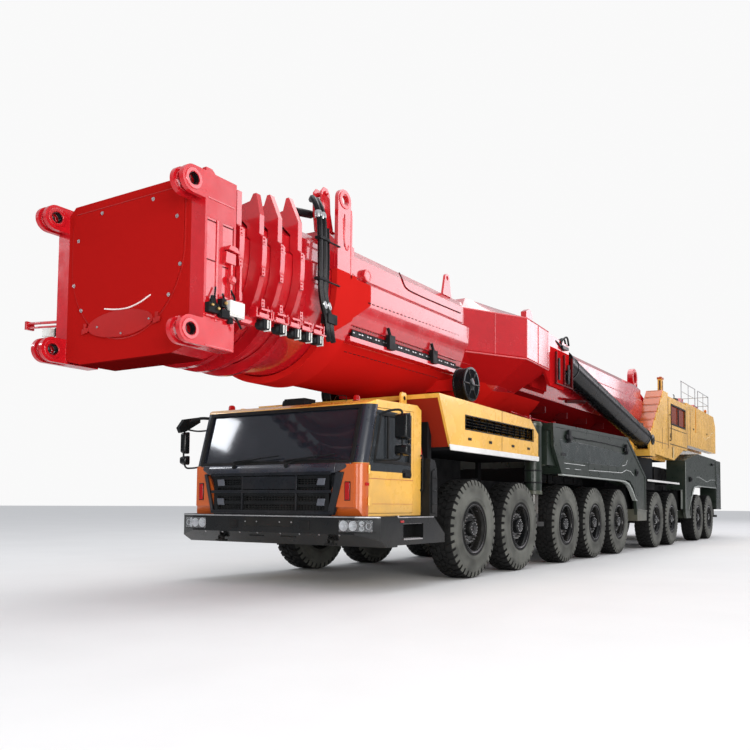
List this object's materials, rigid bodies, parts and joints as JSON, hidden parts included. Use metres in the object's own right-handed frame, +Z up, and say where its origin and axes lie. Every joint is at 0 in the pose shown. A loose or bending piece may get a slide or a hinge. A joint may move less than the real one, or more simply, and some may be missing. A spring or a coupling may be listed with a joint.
{
  "type": "nine-axle all-terrain telescopic mobile crane",
  "caption": "Long all-terrain mobile crane with a telescopic boom folded over its cab, luffing cylinders, folded swing-out outriggers and a slewing machinery house.",
  "frame": {"origin": "on the ground under the middle of the crane's overall length and width", "axes": "+X forward along the carrier, towards the boom head; +Y to the vehicle's left; +Z up"},
  "size_m": [25.3398, 3.42, 5.0999],
  "materials": {
    "red": "semi-gloss",
    "yellow": "gloss",
    "green": "satin",
    "chassis": "satin",
    "black": "satin",
    "silver": "satin",
    "tyre": "matte",
    "glass": "gloss",
    "interior": "matte",
    "chrome": "polished"
  },
  "bodies": {
    "carrier": {"chassis_frame": "chassis", "deck_panels": "silver", "axle_beams": "chassis", "front_bumper": "black", "cab_shell": "yellow", "cab_glass": "glass", "cab_interior": "interior", "engine_housing": "yellow"},
    "door_left": {"cab_door_left": "yellow"},
    "door_right": {"cab_door_right": "yellow"},
    "superstructure": {"turntable": "yellow", "machinery_house": "yellow", "winch": "red", "crane_cab": "yellow"},
    "boom": {"boom_base": "red"},
    "knuckle_1_left": {"knuckle_1_left": "chassis"},
    "knuckle_1_right": {"knuckle_1_right": "chassis"},
    "knuckle_2_left": {"knuckle_2_left": "chassis"},
    "knuckle_2_right": {"knuckle_2_right": "chassis"},
    "knuckle_8_left": {"knuckle_8_left": "chassis"},
    "knuckle_8_right": {"knuckle_8_right": "chassis"},
    "knuckle_9_left": {"knuckle_9_left": "chassis"},
    "knuckle_9_right": {"knuckle_9_right": "chassis"},
    "wheel_1_left": {"wheel_1_left": "tyre"},
    "wheel_1_right": {"wheel_1_right": "tyre"},
    "wheel_2_left": {"wheel_2_left": "tyre"},
    "wheel_2_right": {"wheel_2_right": "tyre"},
    "wheel_3_left": {"wheel_3_left": "tyre"},
    "wheel_3_right": {"wheel_3_right": "tyre"},
    "wheel_4_left": {"wheel_4_left": "tyre"},
    "wheel_4_right": {"wheel_4_right": "tyre"},
    "wheel_5_left": {"wheel_5_left": "tyre"},
    "wheel_5_right": {"wheel_5_right": "tyre"},
    "wheel_6_left": {"wheel_6_left": "tyre"},
    "wheel_6_right": {"wheel_6_right": "tyre"},
    "wheel_7_left": {"wheel_7_left": "tyre"},
    "wheel_7_right": {"wheel_7_right": "tyre"},
    "wheel_8_left": {"wheel_8_left": "tyre"},
    "wheel_8_right": {"wheel_8_right": "tyre"},
    "wheel_9_left": {"wheel_9_left": "tyre"},
    "wheel_9_right": {"wheel_9_right": "tyre"},
    "luff_barrel": {"luff_barrels": "black"},
    "luff_rod": {"luff_rods": "chrome"},
    "boom_section_1": {"boom_section_1": "red"},
    "boom_section_2": {"boom_section_2": "red"},
    "boom_section_3": {"boom_section_3": "red"},
    "boom_section_4": {"boom_section_4": "red"},
    "boom_section_5": {"boom_section_5": "red"},
    "outrigger_arm_front_left": {"outrigger_arm_front_left": "green"},
    "outrigger_beam_front_left": {"outrigger_beam_front_left": "green"},
    "outrigger_jack_front_left": {"outrigger_jack_front_left": "chrome"},
    "outrigger_arm_front_right": {"outrigger_arm_front_right": "green"},
    "outrigger_beam_front_right": {"outrigger_beam_front_right": "green"},
    "outrigger_jack_front_right": {"outrigger_jack_front_right": "chrome"},
    "outrigger_arm_rear_left": {"outrigger_arm_rear_left": "green"},
    "outrigger_beam_rear_left": {"outrigger_beam_rear_left": "green"},
    "outrigger_jack_rear_left": {"outrigger_jack_rear_left": "chrome"},
    "outrigger_arm_rear_right": {"outrigger_arm_rear_right": "green"},
    "outrigger_beam_rear_right": {"outrigger_beam_rear_right": "green"},
    "outrigger_jack_rear_right": {"outrigger_jack_rear_right": "chrome"}
  },
  "joints": [
    {"name": "steer_1_left", "type": "hinge", "parent": "carrier", "child": "knuckle_1_left", "pos_m": [7.35, 1.12, 0.745], "axis": [0, 0, 1], "range_deg": [-28, 28]},
    {"name": "steer_1_right", "type": "hinge", "parent": "carrier", "child": "knuckle_1_right", "pos_m": [7.35, -1.12, 0.745], "axis": [0, 0, 1], "range_deg": [-28, 28]},
    {"name": "steer_2_left", "type": "hinge", "parent": "carrier", "child": "knuckle_2_left", "pos_m": [5.65, 1.12, 0.745], "axis": [0, 0, 1], "range_deg": [-23.8, 23.8]},
    {"name": "steer_2_right", "type": "hinge", "parent": "carrier", "child": "knuckle_2_right", "pos_m": [5.65, -1.12, 0.745], "axis": [0, 0, 1], "range_deg": [-23.8, 23.8]},
    {"name": "steer_8_left", "type": "hinge", "parent": "carrier", "child": "knuckle_8_left", "pos_m": [-8.49, 1.12, 0.745], "axis": [0, 0, 1], "range_deg": [-16.8, 16.8]},
    {"name": "steer_8_right", "type": "hinge", "parent": "carrier", "child": "knuckle_8_right", "pos_m": [-8.49, -1.12, 0.745], "axis": [0, 0, 1], "range_deg": [-16.8, 16.8]},
    {"name": "steer_9_left", "type": "hinge", "parent": "carrier", "child": "knuckle_9_left", "pos_m": [-10.19, 1.12, 0.745], "axis": [0, 0, 1], "range_deg": [-21, 21]},
    {"name": "steer_9_right", "type": "hinge", "parent": "carrier", "child": "knuckle_9_right", "pos_m": [-10.19, -1.12, 0.745], "axis": [0, 0, 1], "range_deg": [-21, 21]},
    {"name": "spin_1_left", "type": "hinge", "parent": "knuckle_1_left", "child": "wheel_1_left", "pos_m": [7.35, 1.465, 0.745], "axis": [0, 1, 0], "continuous": true},
    {"name": "spin_1_right", "type": "hinge", "parent": "knuckle_1_right", "child": "wheel_1_right", "pos_m": [7.35, -1.465, 0.745], "axis": [0, 1, 0], "continuous": true},
    {"name": "spin_2_left", "type": "hinge", "parent": "knuckle_2_left", "child": "wheel_2_left", "pos_m": [5.65, 1.465, 0.745], "axis": [0, 1, 0], "continuous": true},
    {"name": "spin_2_right", "type": "hinge", "parent": "knuckle_2_right", "child": "wheel_2_right", "pos_m": [5.65, -1.465, 0.745], "axis": [0, 1, 0], "continuous": true},
    {"name": "spin_3_left", "type": "hinge", "parent": "carrier", "child": "wheel_3_left", "pos_m": [3.47, 1.465, 0.745], "axis": [0, 1, 0], "continuous": true},
    {"name": "spin_3_right", "type": "hinge", "parent": "carrier", "child": "wheel_3_right", "pos_m": [3.47, -1.465, 0.745], "axis": [0, 1, 0], "continuous": true},
    {"name": "spin_4_left", "type": "hinge", "parent": "carrier", "child": "wheel_4_left", "pos_m": [1.77, 1.465, 0.745], "axis": [0, 1, 0], "continuous": true},
    {"name": "spin_4_right", "type": "hinge", "parent": "carrier", "child": "wheel_4_right", "pos_m": [1.77, -1.465, 0.745], "axis": [0, 1, 0], "continuous": true},
    {"name": "spin_5_left", "type": "hinge", "parent": "carrier", "child": "wheel_5_left", "pos_m": [0.07, 1.465, 0.745], "axis": [0, 1, 0], "continuous": true},
    {"name": "spin_5_right", "type": "hinge", "parent": "carrier", "child": "wheel_5_right", "pos_m": [0.07, -1.465, 0.745], "axis": [0, 1, 0], "continuous": true},
    {"name": "spin_6_left", "type": "hinge", "parent": "carrier", "child": "wheel_6_left", "pos_m": [-3.26, 1.465, 0.745], "axis": [0, 1, 0], "continuous": true},
    {"name": "spin_6_right", "type": "hinge", "parent": "carrier", "child": "wheel_6_right", "pos_m": [-3.26, -1.465, 0.745], "axis": [0, 1, 0], "continuous": true},
    {"name": "spin_7_left", "type": "hinge", "parent": "carrier", "child": "wheel_7_left", "pos_m": [-4.96, 1.465, 0.745], "axis": [0, 1, 0], "continuous": true},
    {"name": "spin_7_right", "type": "hinge", "parent": "carrier", "child": "wheel_7_right", "pos_m": [-4.96, -1.465, 0.745], "axis": [0, 1, 0], "continuous": true},
    {"name": "spin_8_left", "type": "hinge", "parent": "knuckle_8_left", "child": "wheel_8_left", "pos_m": [-8.49, 1.465, 0.745], "axis": [0, 1, 0], "continuous": true},
    {"name": "spin_8_right", "type": "hinge", "parent": "knuckle_8_right", "child": "wheel_8_right", "pos_m": [-8.49, -1.465, 0.745], "axis": [0, 1, 0], "continuous": true},
    {"name": "spin_9_left", "type": "hinge", "parent": "knuckle_9_left", "child": "wheel_9_left", "pos_m": [-10.19, 1.465, 0.745], "axis": [0, 1, 0], "continuous": true},
    {"name": "spin_9_right", "type": "hinge", "parent": "knuckle_9_right", "child": "wheel_9_right", "pos_m": [-10.19, -1.465, 0.745], "axis": [0, 1, 0], "continuous": true},
    {"name": "open_door_left", "type": "hinge", "parent": "carrier", "child": "door_left", "pos_m": [9.862, 1.4743, 1.3], "axis": [0, 0, -1], "range_deg": [0, 70]},
    {"name": "open_door_right", "type": "hinge", "parent": "carrier", "child": "door_right", "pos_m": [9.862, -1.4743, 1.3], "axis": [0, 0, 1], "range_deg": [0, 70]},
    {"name": "slew", "type": "hinge", "parent": "carrier", "child": "superstructure", "pos_m": [-4.1, 0, 2], "axis": [0, 0, 1], "continuous": true},
    {"name": "luff", "type": "hinge", "parent": "superstructure", "child": "boom", "pos_m": [-5.05, 0, 3.8], "axis": [0, -1, 0], "range_deg": [0, 82]},
    {"name": "luff_cylinder_tilt", "type": "hinge", "parent": "superstructure", "child": "luff_barrel", "pos_m": [-3.1, 0, 2.87], "axis": [0, -1, 0], "range_deg": [0, 86.06]},
    {"name": "luff_rod_slide", "type": "slide", "parent": "luff_barrel", "child": "luff_rod", "axis": [0.9844, 0, 0.1757], "range_m": [0, 2.7857]},
    {"name": "telescope_1", "type": "slide", "parent": "boom", "child": "boom_section_1", "axis": [1, 0, 0], "range_m": [0, 11]},
    {"name": "telescope_2", "type": "slide", "parent": "boom_section_1", "child": "boom_section_2", "axis": [1, 0, 0], "range_m": [0, 11]},
    {"name": "telescope_3", "type": "slide", "parent": "boom_section_2", "child": "boom_section_3", "axis": [1, 0, 0], "range_m": [0, 11]},
    {"name": "telescope_4", "type": "slide", "parent": "boom_section_3", "child": "boom_section_4", "axis": [1, 0, 0], "range_m": [0, 11]},
    {"name": "telescope_5", "type": "slide", "parent": "boom_section_4", "child": "boom_section_5", "axis": [1, 0, 0], "range_m": [0, 11]},
    {"name": "swing_front_left", "type": "hinge", "parent": "carrier", "child": "outrigger_arm_front_left", "pos_m": [-1.65, 1.25, 1.3], "axis": [0, 0, 1], "range_deg": [0, 70]},
    {"name": "extend_front_left", "type": "slide", "parent": "outrigger_arm_front_left", "child": "outrigger_beam_front_left", "axis": [1, 0, 0], "range_m": [0, 3.1005]},
    {"name": "lower_front_left", "type": "slide", "parent": "outrigger_beam_front_left", "child": "outrigger_jack_front_left", "axis": [0, 0, -1], "range_m": [0, 0.82]},
    {"name": "swing_front_right", "type": "hinge", "parent": "carrier", "child": "outrigger_arm_front_right", "pos_m": [-1.65, -1.25, 1.3], "axis": [0, 0, -1], "range_deg": [0, 70]},
    {"name": "extend_front_right", "type": "slide", "parent": "outrigger_arm_front_right", "child": "outrigger_beam_front_right", "axis": [1, 0, 0], "range_m": [0, 3.1005]},
    {"name": "lower_front_right", "type": "slide", "parent": "outrigger_beam_front_right", "child": "outrigger_jack_front_right", "axis": [0, 0, -1], "range_m": [0, 0.82]},
    {"name": "swing_rear_left", "type": "hinge", "parent": "carrier", "child": "outrigger_arm_rear_left", "pos_m": [-7, 1.25, 1.3], "axis": [0, 0, -1], "range_deg": [0, 70]},
    {"name": "extend_rear_left", "type": "slide", "parent": "outrigger_arm_rear_left", "child": "outrigger_beam_rear_left", "axis": [-1, 0, 0], "range_m": [0, 1.8]},
    {"name": "lower_rear_left", "type": "slide", "parent": "outrigger_beam_rear_left", "child": "outrigger_jack_rear_left", "axis": [0, 0, -1], "range_m": [0, 0.82]},
    {"name": "swing_rear_right", "type": "hinge", "parent": "carrier", "child": "outrigger_arm_rear_right", "pos_m": [-7, -1.25, 1.3], "axis": [0, 0, 1], "range_deg": [0, 70]},
    {"name": "extend_rear_right", "type": "slide", "parent": "outrigger_arm_rear_right", "child": "outrigger_beam_rear_right", "axis": [-1, 0, 0], "range_m": [0, 1.8]},
    {"name": "lower_rear_right", "type": "slide", "parent": "outrigger_beam_rear_right", "child": "outrigger_jack_rear_right", "axis": [0, 0, -1], "range_m": [0, 0.82]}
  ],
  "couplings": [
    {"joint": "steer_1_right", "follows": "steer_1_left", "ratio": 1},
    {"joint": "steer_2_left", "follows": "steer_1_left", "ratio": 0.85},
    {"joint": "steer_2_right", "follows": "steer_1_left", "ratio": 0.85},
    {"joint": "steer_8_left", "follows": "steer_1_left", "ratio": -0.6},
    {"joint": "steer_8_right", "follows": "steer_1_left", "ratio": -0.6},
    {"joint": "steer_9_left", "follows": "steer_1_left", "ratio": -0.75},
    {"joint": "steer_9_right", "follows": "steer_1_left", "ratio": -0.75},
    {"joint": "luff_cylinder_tilt", "follows": "luff", "ratio": 1.0489},
    {"joint": "luff_rod_slide", "follows": "luff", "m_per_rad": 1.943},
    {"joint": "extend_front_left", "follows": "swing_front_left", "m_per_rad": 2.5374},
    {"joint": "extend_front_right", "follows": "swing_front_right", "m_per_rad": 2.5374}
  ]
}
